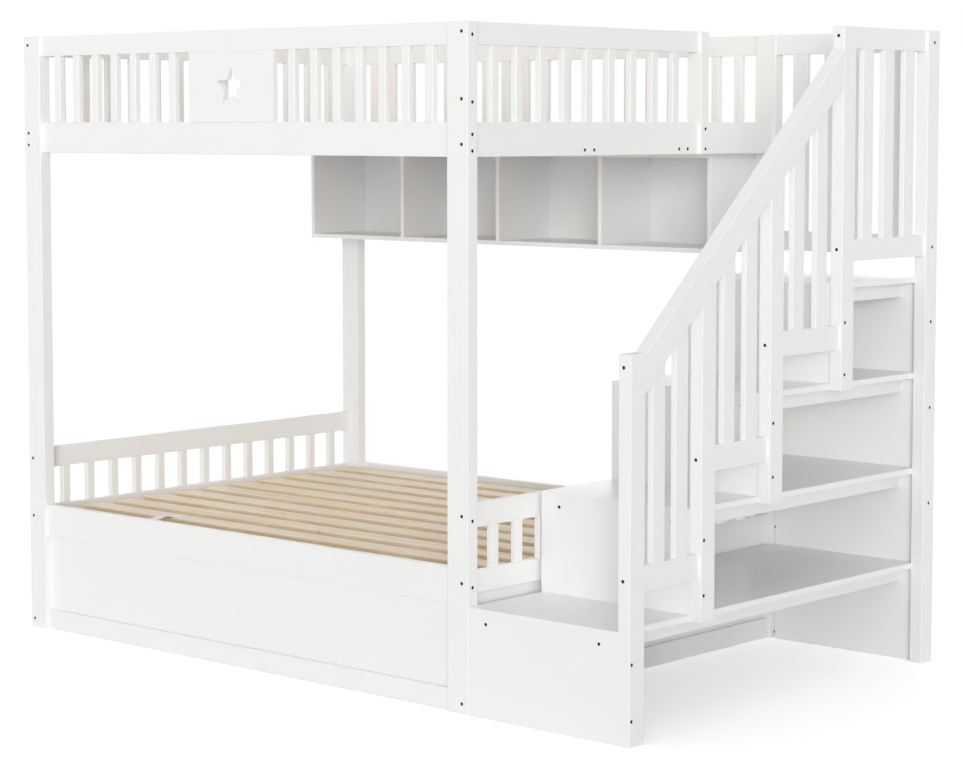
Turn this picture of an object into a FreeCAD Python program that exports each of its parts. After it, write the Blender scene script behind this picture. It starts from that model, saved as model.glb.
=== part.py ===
import FreeCAD, Part
import math
import os

# Bunk bed with storage stairs, in painted wood. Every length is in millimetres.
# X runs along the front from the left end to the stairs, Y to the back, Z up.
# The model is laid out from the bed's front left foot, and moved at the end so
# that the origin is at the bottom centre of the whole object.

# ---- Bed: outside and posts
BED_LENGTH = 1988.0
BED_DEPTH = 1540.0
BED_HEIGHT = 1983.0
POST_WIDTH = 80.0            # along X
POST_THICK = 42.0            # along Y

# ---- Eased edges, which are smaller where the wood is thin
EASED_EDGE = 2.0
EASED_SHEET_EDGE = 1.0
EASED_SHARE = 0.1            # largest radius, as a share of the wood's thickness

# ---- Rails between the posts
RAIL_THICK = 22.0
RAIL_SETBACK = 12.0          # rail's face behind the post's face
FRONT_GUARD_SETBACK = 10.0
UPPER_RAIL_TOP = 1700.0
UPPER_RAIL_HEIGHT = 100.0
GUARD_RAIL_HEIGHT = 65.0
LOWER_RAIL_BOTTOM = 311.0
LOWER_SIDE_RAIL_HEIGHT = 109.0
LOWER_END_RAIL_DROP = 8.0    # below the top of the side rails
LOWER_END_RAIL_HEIGHT = 65.0
LOWER_GUARD_TOP = 609.0
LOWER_GUARD_RAIL_HEIGHT = 71.0
BOTTOM_RAIL_HEIGHT = 66.0
BASE_PANEL_THICK = 9.0
BASE_PANEL_SETBACK = 12.0    # panel's face behind the rails' face

# ---- Guards
BALUSTER_WIDTH = 30.0
BALUSTER_THICK = 20.0
FRONT_BALUSTERS_EACH_SIDE = 7
BACK_BALUSTERS = 19
END_BALUSTERS = 13
END_BALUSTERS_BEFORE_ENTRANCE = 9
STAR_PANEL_WIDTH = 380.0
STAR_PANEL_THICK = 18.0
STAR_RADIUS = 64.0
STAR_INNER_RATIO = 0.45
STAR_DROP = 2.0              # star's centre below the panel's centre
STILE_WIDTH = 40.0
STILE_THICK = 55.0
ENTRANCE_WIDTH = 362.0       # between the stile and the back post

# ---- Upper bed
UPPER_LEDGER_SIZE = 25.0
UPPER_LEDGER_RISE = 4.0      # ledger's underside above the rail's underside
UPPER_BEAM_WIDTH = 80.0
UPPER_BEAM_SPACING = 463.2
UPPER_BEAM_OFFSET = 20.0     # the pair's middle, behind the middle of the bed
UPPER_BEAM_BOLT_SPACING = 44.0
UPPER_SLATS = 14
UPPER_SLAT_WIDTH = 80.0
UPPER_SLAT_THICK = 18.0

# ---- Lower bed
LOWER_SLATS = 11
LOWER_SLAT_WIDTH = 82.0
LOWER_SLAT_THICK = 18.0
LOWER_SLAT_SETDOWN = 20.0    # slats' tops below the top of the front rail
LOWER_SLAT_END_GAP = 16.0
LOWER_SLAT_FRONT_GAP = 2.0   # from the posts to the first slat
LOWER_SLAT_BACK_GAP = 8.0    # and from the last slat to the posts
LOWER_LEDGER_SIZE = 30.0
CROSS_BEARERS = 4
CROSS_BEARER_WIDTH = 28.0
CROSS_BEARER_HEIGHT = 40.0
LEG_SIZE = 40.0
TAPE_WIDTH = 38.0
TAPE_THICK = 1.5
TAPE_FROM_END = 446.0        # from the end rails' inner faces
TAPE_END_HUMP = 10.0         # how far the loose end stands off the slats between two of them
TAPE_HUMP_PARTS = 8
TAPE_END_LENGTH = 190.0
TAPE_EYELET = 6.0

# ---- Hanging shelf
SHELF_DEPTH = 278.0
SHELF_FROM_BACK = 4.0
SHELF_HEIGHT = 322.0
SHELF_BOARD = 15.0
SHELF_BACK_THICK = 6.0
SHELF_DIVIDERS = 3

# ---- Stairs
STEPS = 4
STAIR_INNER_WIDTH = 548.0
STAIR_POST_THICK = 42.0      # along X
STAIR_POST_WIDTH = 64.0      # along Y
SHEET_THICK = 18.0
FIRST_TREAD_TOP = 315.0
TREAD_RISE = 301.0
TREAD_GOINGS = (324.0, 330.0, 365.0)
POST_LEADS = (4.0, 7.0, 9.0)     # how far posts 2, 3 and 4 stand before their risers
STAIR_BACK_GAP = 22.0            # back panel's rear face to the back of the bed
STAIR_BACK_SLIT = 14.0           # bed's post to the back panel
BEARER_HEIGHT = 48.0
BEARER_INSET_LEFT = 68.0
BEARER_INSET_RIGHT = 482.0
NEWEL_HEIGHT = 1075.0
HANDRAIL_FOOT_TOP = 1070.0       # handrail's top edge where it leaves the newel
HANDRAIL_HEAD_TOP = 1915.6       # and where it meets the landing post
HANDRAIL_DEPTH = 107.0           # measured straight down
FRAME_RAIL_RISE = 104.0          # rail's underside above the tread below it
FRAME_RAIL_HEIGHT = 73.0
WIDE_BALUSTER = 55.0
WIDE_BALUSTER_THICK = 18.0
FRAME_BALUSTERS = 2
LANDING_RAIL_RISE = 66.0
LANDING_RAIL_HEIGHT = 64.0
LANDING_SIDE_BALUSTERS = 3
LANDING_BACK_BALUSTERS = 4
LANDING_BACK_SETBACK = 18.0

# ---- Bolts and barrel nuts
HEAD_DIAMETER = 10.0
HEAD_HEIGHT = 4.0
HEAD_RECESS = 0.4
SOCKET_ACROSS = 5.0
SOCKET_DEPTH = 2.5
SHANK_DIAMETER = 6.0
SHANK_CLEARANCE = 0.3
BOLT_REACH = 45.0            # how far a shank goes into the piece that it draws up
NUT_DIAMETER = 10.0
NUT_LENGTH = 10.0
NUT_FROM_TIP = 8.0
FIT_CLEARANCE = 0.2
SHORT_REACH = 12.0           # a short bolt's length beyond its first piece
SIDE_BOLT_FROM_FACE = 20.0   # bolts in the posts' sides, from the front or back face
RIGHT_BOLT_FROM_SIDE = 24.0  # bolts in the right posts' faces, from the side
LEFT_BOLT_FROM_SIDE = 19.0
CROSSING_STEP = 4.5          # two bolts that cross in a post pass this far above and below
UPPER_FACE_BOLTS_LEFT = (25.0, 64.0)     # heights above the rail's underside
UPPER_FACE_BOLTS_RIGHT = (36.0,)
UPPER_SIDE_BOLTS_LEFT = (45.0, 84.0)
UPPER_SIDE_BOLTS_RIGHT = (17.0, 64.0)
LOWER_SIDE_BOLT = 57.0
BOTTOM_FACE_BOLT = 29.5
BOTTOM_SIDE_BOLT = 18.0
UPPER_POST_BOLT_RISE = 60.0  # pair in the front right post, above the upper rail
LOWER_POST_BOLT_RISE = 140.0 # one in its side, above the lower rail
STILE_BOLTS = (16.0, 79.0)
STILE_BOLT_FROM_BACK = 16.0
RISER_BOLTS = (72.0, 59.0, 59.0, 29.0)   # lower bolt of each riser, above what it stands on
RISER_BOLT_SPACING = 156.5
BACK_PANEL_BOLTS = (506.0, 808.0, 1078.0)
NEWEL_BOLT_INSET = 17.0      # from the newel's inner face
HANDRAIL_BOLT_DROP = 37.0    # below the newel's top
SHELF_BOLTS = 4

# ---- Worked out from the dimensions above
STAIR_LEFT = BED_LENGTH
STAIR_POSTS_X = STAIR_LEFT + STAIR_INNER_WIDTH
TOTAL_LENGTH = STAIR_POSTS_X + STAIR_POST_THICK
UPPER_RAIL_BOTTOM = UPPER_RAIL_TOP - UPPER_RAIL_HEIGHT
GUARD_RAIL_BOTTOM = BED_HEIGHT - GUARD_RAIL_HEIGHT
LOWER_SIDE_RAIL_TOP = LOWER_RAIL_BOTTOM + LOWER_SIDE_RAIL_HEIGHT
LOWER_END_RAIL_TOP = LOWER_SIDE_RAIL_TOP - LOWER_END_RAIL_DROP
LOWER_END_RAIL_BOTTOM = LOWER_END_RAIL_TOP - LOWER_END_RAIL_HEIGHT
LOWER_GUARD_BOTTOM = LOWER_GUARD_TOP - LOWER_GUARD_RAIL_HEIGHT
INNER_LEFT = RAIL_SETBACK + RAIL_THICK
INNER_RIGHT = BED_LENGTH - INNER_LEFT
INNER_FRONT = RAIL_SETBACK + RAIL_THICK
INNER_BACK = BED_DEPTH - INNER_FRONT
RIGHT_RAIL_FACE = BED_LENGTH - RAIL_SETBACK
POSTS_RIGHT = BED_LENGTH - POST_WIDTH        # left side of the right posts
POSTS_BACK = BED_DEPTH - POST_THICK          # front of the back posts
TREAD_TOPS = [FIRST_TREAD_TOP + TREAD_RISE * step for step in range(STEPS)]
RISER_FRONTS = [sum(TREAD_GOINGS[:step]) for step in range(STEPS)]
POST_FRONTS = [0.0] + [front - lead for front, lead in zip(RISER_FRONTS[1:], POST_LEADS)]
REAR_POST_FRONT = BED_DEPTH - STAIR_POST_WIDTH
BACK_PANEL_REAR = BED_DEPTH - STAIR_BACK_GAP
BACK_PANEL_FRONT = BACK_PANEL_REAR - SHEET_THICK
HANDRAIL_FOOT_Y = STAIR_POST_WIDTH
HANDRAIL_HEAD_Y = POST_FRONTS[3]
HANDRAIL_SLOPE = (HANDRAIL_HEAD_TOP - HANDRAIL_FOOT_TOP) / (HANDRAIL_HEAD_Y - HANDRAIL_FOOT_Y)
STAIR_RAIL_LEFT = STAIR_POSTS_X + (STAIR_POST_THICK - RAIL_THICK) / 2.0
STAIR_RAIL_MIDDLE = STAIR_POSTS_X + STAIR_POST_THICK / 2.0
STILE_BACK = POSTS_BACK - ENTRANCE_WIDTH
STILE_FRONT = STILE_BACK - STILE_WIDTH

PLUS_X = FreeCAD.Vector(1, 0, 0)
PLUS_Y = FreeCAD.Vector(0, 1, 0)
PLUS_Z = FreeCAD.Vector(0, 0, 1)

nodes = {}       # node name -> its wooden solids
bolts = []       # bolt solids
nuts = []        # barrel nut solids
drillings = []   # holes that the bolts and nuts need


def block(x0, x1, y0, y1, z0, z1):
    """A sharp-edged block between two opposite corners."""
    corner = FreeCAD.Vector(x0, y0, z0)
    return Part.makeBox(x1 - x0, y1 - y0, z1 - z0, corner)


def board(x0, x1, y0, y1, z0, z1, top_eased=False):
    """A straight board of solid wood, with its long edges eased."""
    sharp = block(x0, x1, y0, y1, z0, z1)
    sizes = (x1 - x0, y1 - y0, z1 - z0)
    length = max(sizes)
    long_edges = [edge for edge in sharp.Edges if abs(edge.Length - length) < 1e-6]
    if top_eased:
        long_edges += [edge for edge in sharp.Edges if abs(edge.CenterOfMass.z - z1) < 1e-6]
    return sharp.makeFillet(min(EASED_EDGE, EASED_SHARE * min(sizes)), long_edges)


def sheet(x0, x1, y0, y1, z0, z1):
    """A panel cut from board, with all its edges eased."""
    sharp = block(x0, x1, y0, y1, z0, z1)
    thickness = min(x1 - x0, y1 - y0, z1 - z0)
    return sharp.makeFillet(min(EASED_SHEET_EDGE, EASED_SHARE * thickness), sharp.Edges)


def spaced(start, end, width, count):
    """Near edges of `count` pieces of one width, with equal gaps between two ends."""
    gap = (end - start - count * width) / (count + 1)
    return [start + gap + index * (width + gap) for index in range(count)]


def add(name, *solids):
    nodes.setdefault(name, []).extend(solids)


def cylinder(diameter, length, start, along):
    return Part.makeCylinder(diameter / 2.0, length, start, along)


def hexagon(across, length, start, along):
    """A six-sided prism, for the key's socket."""
    side = PLUS_Z if abs(along.z) < 0.5 else PLUS_X
    radius = across / math.sqrt(3.0)
    turn = FreeCAD.Rotation(along, 60)
    arm = side * radius
    corners = []
    for _ in range(6):
        corners.append(start + arm)
        arm = turn.multVec(arm)
    outline = Part.makePolygon(corners + [corners[0]])
    return Part.Face(outline).extrude(along * length)


def bolt(x, y, z, into, grip, reach=BOLT_REACH, nut_side=None, nut_depth=0.0):
    """One bolt, its head sunk in the face at (x, y, z), and the holes that it needs.

    It runs along `into` through `grip` of the first piece, and `reach` further.
    `nut_side` points from the barrel nut to the face that the nut is put in from,
    and `nut_depth` is how far that face is from the bolt's axis.
    """
    face = FreeCAD.Vector(x, y, z)
    head_start = face + into * HEAD_RECESS
    length = grip + reach - HEAD_RECESS
    head = cylinder(HEAD_DIAMETER, HEAD_HEIGHT, head_start, into)
    head = head.cut(hexagon(SOCKET_ACROSS, SOCKET_DEPTH, head_start, into))
    shank = cylinder(SHANK_DIAMETER, length - HEAD_HEIGHT, head_start + into * HEAD_HEIGHT, into)
    bolts.append(head.fuse(shank).removeSplitter())

    counterbore = cylinder(HEAD_DIAMETER + 2 * FIT_CLEARANCE, HEAD_RECESS + HEAD_HEIGHT, face, into)
    hole = cylinder(SHANK_DIAMETER + 2 * SHANK_CLEARANCE, grip + reach + FIT_CLEARANCE, face, into)
    drilling = counterbore.fuse(hole)
    if nut_side is not None:
        middle = face + into * (grip + reach - NUT_FROM_TIP)
        nut = cylinder(NUT_DIAMETER, NUT_LENGTH, middle - nut_side * (NUT_LENGTH / 2.0), nut_side)
        thread = cylinder(SHANK_DIAMETER, 2 * NUT_DIAMETER, middle - into * NUT_DIAMETER, into)
        nuts.append(nut.cut(thread))
        blind_end = middle - nut_side * (NUT_LENGTH / 2.0 + FIT_CLEARANCE)
        depth = NUT_LENGTH / 2.0 + FIT_CLEARANCE + nut_depth
        nut_hole = cylinder(NUT_DIAMETER + 2 * FIT_CLEARANCE, depth, blind_end, nut_side)
        drilling = drilling.fuse(nut_hole)
    drillings.append(drilling)


# ---- Bed frame

def make_bed_posts():
    left, right = 0.0, POSTS_RIGHT
    front, back = 0.0, POSTS_BACK
    for name, x, y in (
        ("post_front_left", left, front),
        ("post_front_right", right, front),
        ("post_back_left", left, back),
        ("post_back_right", right, back),
    ):
        add(name, board(x, x + POST_WIDTH, y, y + POST_THICK, 0, BED_HEIGHT, top_eased=True))


def long_rail(setback, bottom, top, at_back=False, thick=RAIL_THICK):
    """A rail along X, between the posts of the front or the back."""
    y = BED_DEPTH - setback - thick if at_back else setback
    return board(POST_WIDTH, POSTS_RIGHT, y, y + thick, bottom, top)


def end_rail(setback, bottom, top, at_right=False, rear=None, thick=RAIL_THICK):
    """A rail along Y, between the posts of the left or the right end."""
    x = BED_LENGTH - setback - thick if at_right else setback
    rear = POSTS_BACK if rear is None else rear
    return board(x, x + thick, POST_THICK, rear, bottom, top)


def make_rails():
    upper = (RAIL_SETBACK, UPPER_RAIL_BOTTOM, UPPER_RAIL_TOP)
    add("upper_rail_front", long_rail(*upper))
    add("upper_rail_back", long_rail(*upper, at_back=True))
    add("upper_rail_left", end_rail(*upper))
    add("upper_rail_right", end_rail(*upper, at_right=True))

    guard = (GUARD_RAIL_BOTTOM, BED_HEIGHT)
    add("guard_top_rail_front", long_rail(FRONT_GUARD_SETBACK, *guard))
    add("guard_top_rail_back", long_rail(RAIL_SETBACK, *guard, at_back=True))
    add("guard_top_rails_ends", end_rail(RAIL_SETBACK, *guard))
    add("guard_top_rails_ends", end_rail(RAIL_SETBACK, *guard, at_right=True, rear=STILE_FRONT))

    side = (RAIL_SETBACK, LOWER_RAIL_BOTTOM, LOWER_SIDE_RAIL_TOP)
    end = (RAIL_SETBACK, LOWER_END_RAIL_BOTTOM, LOWER_END_RAIL_TOP)
    add("lower_rail_front", long_rail(*side))
    add("lower_rail_back", long_rail(*side, at_back=True))
    add("lower_rail_left", end_rail(*end))
    add("lower_rail_right", end_rail(*end, at_right=True))

    bottom = (RAIL_SETBACK, 0.0, BOTTOM_RAIL_HEIGHT)
    add("bottom_rails_sides", long_rail(*bottom), long_rail(*bottom, at_back=True))
    add("bottom_rails_ends", end_rail(*bottom), end_rail(*bottom, at_right=True))


def make_base_panels():
    setback = RAIL_SETBACK + BASE_PANEL_SETBACK
    side = (setback, BOTTOM_RAIL_HEIGHT, LOWER_RAIL_BOTTOM)
    end = (setback, BOTTOM_RAIL_HEIGHT, LOWER_END_RAIL_BOTTOM)
    thick = BASE_PANEL_THICK
    add("base_panels_sides", long_rail(*side, thick=thick), long_rail(*side, True, thick))
    add("base_panels_ends", end_rail(*end, thick=thick), end_rail(*end, True, thick=thick))


# ---- Guards

def star_panel(x, y):
    """The panel in the middle of the front guard, with its star cut through."""
    panel = block(x, x + STAR_PANEL_WIDTH, y, y + STAR_PANEL_THICK, UPPER_RAIL_TOP, GUARD_RAIL_BOTTOM)
    middle_x = x + STAR_PANEL_WIDTH / 2.0
    middle_z = (UPPER_RAIL_TOP + GUARD_RAIL_BOTTOM) / 2.0 - STAR_DROP
    corners = []
    for point in range(10):
        angle = math.radians(90 + 36 * point)
        radius = STAR_RADIUS * (STAR_INNER_RATIO if point % 2 else 1.0)
        reach_x = radius * math.cos(angle)
        reach_z = radius * math.sin(angle)
        corners.append(FreeCAD.Vector(middle_x + reach_x, y, middle_z + reach_z))
    outline = Part.makePolygon(corners + [corners[0]])
    star = Part.Face(outline).extrude(PLUS_Y * STAR_PANEL_THICK)
    return panel.cut(star)


def make_guards():
    low, high = UPPER_RAIL_TOP, GUARD_RAIL_BOTTOM
    first, last = POST_WIDTH, POSTS_RIGHT
    front = FRONT_GUARD_SETBACK + (RAIL_THICK - BALUSTER_THICK) / 2.0
    panel_left = (BED_LENGTH - STAR_PANEL_WIDTH) / 2.0
    panel_right = panel_left + STAR_PANEL_WIDTH
    for start, end in ((first, panel_left), (panel_right, last)):
        for x in spaced(start, end, BALUSTER_WIDTH, FRONT_BALUSTERS_EACH_SIDE):
            baluster = board(x, x + BALUSTER_WIDTH, front, front + BALUSTER_THICK, low, high)
            add("guard_balusters_front", baluster)
    panel_front = FRONT_GUARD_SETBACK + (RAIL_THICK - STAR_PANEL_THICK) / 2.0
    add("star_panel", star_panel(panel_left, panel_front))

    inset = RAIL_SETBACK + (RAIL_THICK - BALUSTER_THICK) / 2.0
    back = BED_DEPTH - inset - BALUSTER_THICK
    for x in spaced(first, last, BALUSTER_WIDTH, BACK_BALUSTERS):
        baluster = board(x, x + BALUSTER_WIDTH, back, back + BALUSTER_THICK, low, high)
        add("guard_balusters_back", baluster)

    left = inset
    right = BED_LENGTH - inset - BALUSTER_THICK
    places = spaced(POST_THICK, POSTS_BACK, BALUSTER_WIDTH, END_BALUSTERS)
    lower = (LOWER_END_RAIL_TOP, LOWER_GUARD_BOTTOM)
    for index, y in enumerate(places):
        rear = y + BALUSTER_WIDTH
        add("guard_balusters_ends", board(left, left + BALUSTER_THICK, y, rear, low, high))
        if index < END_BALUSTERS_BEFORE_ENTRANCE:
            add("guard_balusters_ends", board(right, right + BALUSTER_THICK, y, rear, low, high))
        for x in (left, right):
            add("lower_guard_balusters", board(x, x + BALUSTER_THICK, y, rear, *lower))
    rail = (RAIL_SETBACK, LOWER_GUARD_BOTTOM, LOWER_GUARD_TOP)
    add("lower_guard_rails", end_rail(*rail), end_rail(*rail, at_right=True))


def make_entrance_stile():
    """The post at the entrance's edge: thick above the side rail, a tongue in front of it."""
    left = BED_LENGTH - STILE_THICK
    bottom = UPPER_RAIL_BOTTOM
    whole = board(left, BED_LENGTH, STILE_FRONT, STILE_BACK, bottom, BED_HEIGHT, top_eased=True)
    notch = block(left, RIGHT_RAIL_FACE, STILE_FRONT, STILE_BACK, bottom, UPPER_RAIL_TOP)
    add("entrance_stile", whole.cut(notch))


# ---- Upper bed

def upper_ledger_top():
    return UPPER_RAIL_BOTTOM + UPPER_LEDGER_RISE + UPPER_LEDGER_SIZE


def upper_beam_middles():
    middle = BED_DEPTH / 2.0 + UPPER_BEAM_OFFSET
    return (middle - UPPER_BEAM_SPACING / 2.0, middle + UPPER_BEAM_SPACING / 2.0)


def make_upper_bed():
    top = upper_ledger_top()
    bottom = top - UPPER_LEDGER_SIZE
    for y in (INNER_FRONT, INNER_BACK - UPPER_LEDGER_SIZE):
        ledger = board(POST_WIDTH, POSTS_RIGHT, y, y + UPPER_LEDGER_SIZE, bottom, top)
        add("upper_ledgers", ledger)
    for y in upper_beam_middles():
        half = UPPER_BEAM_WIDTH / 2.0
        add("upper_beams", board(INNER_LEFT, INNER_RIGHT, y - half, y + half, bottom, top))
    for x in spaced(INNER_LEFT, INNER_RIGHT, UPPER_SLAT_WIDTH, UPPER_SLATS):
        slat = board(x, x + UPPER_SLAT_WIDTH, INNER_FRONT, INNER_BACK, top, top + UPPER_SLAT_THICK)
        add("upper_slats", slat)


# ---- Lower bed

def make_lower_bed():
    slat_top = LOWER_SIDE_RAIL_TOP - LOWER_SLAT_SETDOWN
    slat_bottom = slat_top - LOWER_SLAT_THICK
    bearer_bottom = slat_bottom - CROSS_BEARER_HEIGHT
    size = LOWER_LEDGER_SIZE

    first = POST_THICK + LOWER_SLAT_FRONT_GAP
    last = POSTS_BACK - LOWER_SLAT_BACK_GAP - LOWER_SLAT_WIDTH
    pitch = (last - first) / (LOWER_SLATS - 1)
    left, right = INNER_LEFT + LOWER_SLAT_END_GAP, INNER_RIGHT - LOWER_SLAT_END_GAP
    for index in range(LOWER_SLATS):
        y = first + index * pitch
        add("lower_slats", board(left, right, y, y + LOWER_SLAT_WIDTH, slat_bottom, slat_top))

    for x in (INNER_LEFT, INNER_RIGHT - size):
        ledger = board(x, x + size, POST_THICK, POSTS_BACK, slat_bottom - size, slat_bottom)
        add("lower_ledgers", ledger)
    for y in (INNER_FRONT, INNER_BACK - size):
        ledger = board(POST_WIDTH, POSTS_RIGHT, y, y + size, bearer_bottom - size, bearer_bottom)
        add("lower_ledgers", ledger)

    step = (INNER_RIGHT - INNER_LEFT) / (CROSS_BEARERS + 1)
    for index in range(CROSS_BEARERS):
        middle = INNER_LEFT + step * (index + 1)
        x = middle - CROSS_BEARER_WIDTH / 2.0
        bearer = board(x, x + CROSS_BEARER_WIDTH, INNER_FRONT, INNER_BACK, bearer_bottom, slat_bottom)
        add("cross_bearers", bearer)
        leg_x, leg_y = middle - LEG_SIZE / 2.0, (BED_DEPTH - LEG_SIZE) / 2.0
        add("centre_legs", board(leg_x, leg_x + LEG_SIZE, leg_y, leg_y + LEG_SIZE, 0, bearer_bottom))

    tape_rear = last + LOWER_SLAT_WIDTH
    left_tape, right_tape = INNER_LEFT + TAPE_FROM_END, INNER_RIGHT - TAPE_FROM_END - TAPE_WIDTH
    for x in (left_tape, right_tape):
        tape = block(x, x + TAPE_WIDTH, first, tape_rear, slat_bottom - TAPE_THICK, slat_bottom)
        if x == left_tape:
            tape = tape.fuse(loose_tape_end(x, first, pitch, slat_bottom, slat_top)).removeSplitter()
        add("webbing_tapes", tape)


def loose_tape_end(x, front, pitch, slat_bottom, slat_top):
    """The tape's end, turned up round the first slat and laid back over the next gap."""
    turn_up = block(x, x + TAPE_WIDTH, front - TAPE_THICK, front, slat_bottom - TAPE_THICK, slat_top)
    gap_start, gap_end = front + LOWER_SLAT_WIDTH, front + pitch
    lower = [(front - TAPE_THICK, slat_top), (gap_start, slat_top)]
    for part in range(1, TAPE_HUMP_PARTS):
        share = part / float(TAPE_HUMP_PARTS)
        lift = TAPE_END_HUMP * math.sin(math.pi * share)
        lower.append((gap_start + share * (gap_end - gap_start), slat_top + lift))
    lower += [(gap_end, slat_top), (front + TAPE_END_LENGTH, slat_top)]
    upper = [(y, z + TAPE_THICK) for y, z in reversed(lower)]
    laid_back = side_profile(lower + upper, x, TAPE_WIDTH)
    eyelet_at = FreeCAD.Vector(x + TAPE_WIDTH / 2.0, front + TAPE_END_LENGTH - TAPE_WIDTH / 2.0, slat_top)
    eyelet = cylinder(TAPE_EYELET, TAPE_THICK, eyelet_at, PLUS_Z)
    return turn_up.fuse(laid_back).cut(eyelet)


# ---- Hanging shelf

def make_shelf():
    left, right = POST_WIDTH, POSTS_RIGHT
    rear = BED_DEPTH - SHELF_FROM_BACK
    front = rear - SHELF_DEPTH
    board_rear = rear - SHELF_BACK_THICK
    top = UPPER_RAIL_BOTTOM
    bottom = top - SHELF_HEIGHT
    add("shelf_top", sheet(left, right, front, board_rear, top - SHELF_BOARD, top))
    add("shelf_bottom", sheet(left, right, front, board_rear, bottom, bottom + SHELF_BOARD))
    add("shelf_back", sheet(left, right, board_rear, rear, bottom, top))
    pitch = (right - left - SHELF_BOARD) / (SHELF_DIVIDERS + 1)
    for index in range(SHELF_DIVIDERS + 2):
        x = left + index * pitch
        upright = sheet(x, x + SHELF_BOARD, front, board_rear, bottom + SHELF_BOARD, top - SHELF_BOARD)
        add("shelf_uprights", upright)


# ---- Stairs

def handrail_underside(y):
    return HANDRAIL_FOOT_TOP - HANDRAIL_DEPTH + HANDRAIL_SLOPE * (y - HANDRAIL_FOOT_Y)


def side_profile(points, x, thick):
    """A piece cut to an outline in the Y-Z plane, `thick` along X."""
    corners = [FreeCAD.Vector(x, y, z) for y, z in points]
    outline = Part.makePolygon(corners + [corners[0]])
    return Part.Face(outline).extrude(PLUS_X * thick)


def eased_lengthwise(piece, run, thick):
    """The piece with its edges along `run` eased, for wood whose ends are cut at a slope."""
    edges = []
    for edge in piece.Edges:
        first, last = edge.Vertexes[0].Point, edge.Vertexes[-1].Point
        if (last - first).normalize().cross(run).Length < 1e-6:
            edges.append(edge)
    return piece.makeFillet(min(EASED_EDGE, EASED_SHARE * thick), edges)


def under_handrail(x, thick, y0, y1, bottom):
    """An upright piece whose top is cut to the handrail's slope."""
    top0, top1 = handrail_underside(y0), handrail_underside(y1)
    piece = side_profile([(y0, bottom), (y1, bottom), (y1, top1), (y0, top0)], x, thick)
    return eased_lengthwise(piece, PLUS_Z, thick)


def make_treads_and_risers():
    left, right = STAIR_LEFT, STAIR_POSTS_X
    for step in range(STEPS):
        top = TREAD_TOPS[step]
        under = top - SHEET_THICK
        front = RISER_FRONTS[step]
        is_landing = step == STEPS - 1
        rear = BACK_PANEL_REAR if is_landing else BACK_PANEL_FRONT
        tread = sheet(left, right, front, rear, under, top)
        add("stair_tread_%d" % (step + 1), tread)
        floor = 0.0 if step == 0 else TREAD_TOPS[step - 1]
        riser = sheet(left, right, front, front + SHEET_THICK, floor, under)
        add("stair_riser_%d" % (step + 1), riser)
        for inset in (BEARER_INSET_LEFT, BEARER_INSET_RIGHT):
            x = left + inset - SHEET_THICK / 2.0
            y = front + SHEET_THICK
            bearer = board(x, x + SHEET_THICK, y, BACK_PANEL_FRONT, under - BEARER_HEIGHT, under)
            add("tread_bearers", bearer)
    landing_under = TREAD_TOPS[3] - SHEET_THICK
    panel_left = left + STAIR_BACK_SLIT
    panel = sheet(panel_left, right, BACK_PANEL_FRONT, BACK_PANEL_REAR, 0.0, landing_under)
    add("stair_back_panel", panel)


def make_stair_posts():
    x, thick = STAIR_POSTS_X, STAIR_POST_THICK
    width = STAIR_POST_WIDTH
    add("newel_post", board(x, x + thick, 0.0, width, 0.0, NEWEL_HEIGHT, top_eased=True))
    for step in (1, 2):
        front = POST_FRONTS[step]
        bottom = TREAD_TOPS[step - 1] - SHEET_THICK
        add("stair_middle_posts", under_handrail(x, thick, front, front + width, bottom))
    front = POST_FRONTS[3]
    bottom = TREAD_TOPS[2] - SHEET_THICK
    rear = REAR_POST_FRONT
    add("landing_post", board(x, x + thick, front, front + width, bottom, BED_HEIGHT, top_eased=True))
    add("stair_rear_post", board(x, x + thick, rear, BED_DEPTH, 0.0, BED_HEIGHT, top_eased=True))


def make_handrail():
    foot, head = HANDRAIL_FOOT_Y, HANDRAIL_HEAD_Y
    low_foot, low_head = handrail_underside(foot), handrail_underside(head)
    outline = [(foot, low_foot), (head, low_head), (head, HANDRAIL_HEAD_TOP), (foot, HANDRAIL_FOOT_TOP)]
    rail = side_profile(outline, STAIR_POSTS_X, STAIR_POST_THICK)
    run = FreeCAD.Vector(0, head - foot, low_head - low_foot).normalize()
    add("stair_handrail", eased_lengthwise(rail, run, STAIR_POST_THICK))


def make_stair_frames():
    """The rail and two wide balusters between each two posts, under the handrail."""
    baluster_x = STAIR_RAIL_MIDDLE - WIDE_BALUSTER_THICK / 2.0
    for step in range(3):
        start = POST_FRONTS[step] + STAIR_POST_WIDTH
        end = POST_FRONTS[step + 1]
        bottom = TREAD_TOPS[step] + FRAME_RAIL_RISE
        top = bottom + FRAME_RAIL_HEIGHT
        rail = board(STAIR_RAIL_LEFT, STAIR_RAIL_LEFT + RAIL_THICK, start, end, bottom, top)
        add("stair_frame_rails", rail)
        for y in spaced(start, end, WIDE_BALUSTER, FRAME_BALUSTERS):
            baluster = under_handrail(baluster_x, WIDE_BALUSTER_THICK, y, y + WIDE_BALUSTER, top)
            add("stair_frame_balusters", baluster)


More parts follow.
